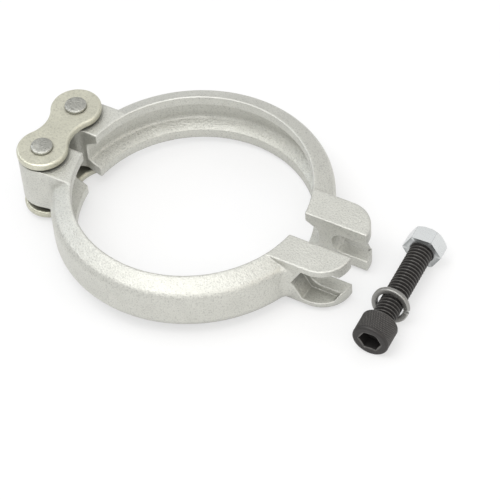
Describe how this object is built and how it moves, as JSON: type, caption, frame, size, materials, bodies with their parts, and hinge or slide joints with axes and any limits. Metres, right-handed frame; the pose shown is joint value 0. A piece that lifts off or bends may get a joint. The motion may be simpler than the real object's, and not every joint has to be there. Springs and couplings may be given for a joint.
{
  "type": "hinged pipe flange clamp",
  "caption": "Hinged split ring clamp with an inner groove that pulls pipe flanges together, chain-link hinge, slotted lugs, and loose cap screw, lock washer and nut.",
  "frame": {"origin": "centre of the bore, halfway up the ring, with the halves concentric", "axes": "+Z along the pipe, +X towards the screw lugs, +Y towards the rear half"},
  "size_m": [0.1735, 0.113, 0.034],
  "materials": {
    "cast_steel": "satin, fine grit-blasted casting skin",
    "plated_link": "satin, warm plated",
    "pin_steel": "semi-gloss, riveted ends",
    "black_oxide": "dark oxide with a light oil sheen",
    "spring_steel": "dull grey",
    "bright_zinc": "bright zinc, slightly blue"
  },
  "bodies": {
    "rear_half": {"rear_half": "cast_steel"},
    "link": {"upper_link_plate": "plated_link", "lower_link_plate": "plated_link", "rear_hinge_pin": "pin_steel", "front_hinge_pin": "pin_steel"},
    "front_half": {"front_half": "cast_steel"},
    "lock_washer": {"lock_washer": "spring_steel"},
    "cap_screw": {"cap_screw": "black_oxide"},
    "hex_nut": {"hex_nut": "bright_zinc"}
  },
  "joints": [
    {"name": "link_rear_hinge", "type": "hinge", "parent": "rear_half", "child": "link", "pos_m": [-0.0615, 0.0127, 0], "axis": [0, 0, -1], "range_deg": [-2, 120]},
    {"name": "link_front_hinge", "type": "hinge", "parent": "link", "child": "front_half", "pos_m": [-0.0615, -0.0127, 0], "axis": [0, 0, -1], "range_deg": [-2, 120]},
    {"name": "screw_set_slide", "type": "slide", "parent": "rear_half", "child": "lock_washer", "axis": [1, 0, 0], "range_m": [-0.008, 0.03]},
    {"name": "screw_turn", "type": "hinge", "parent": "lock_washer", "child": "cap_screw", "pos_m": [0.0936, -0.01975, -0.0022], "axis": [-0.0576, 0.9983, 0], "range_deg": [-540, 5940]},
    {"name": "nut_travel", "type": "slide", "parent": "lock_washer", "child": "hex_nut", "axis": [0.0576, -0.9983, 0], "range_m": [-0.00239, 0.0262]}
  ],
  "couplings": [
    {"joint": "nut_travel", "follows": "screw_turn", "m_per_rad": 0.00025266}
  ]
}
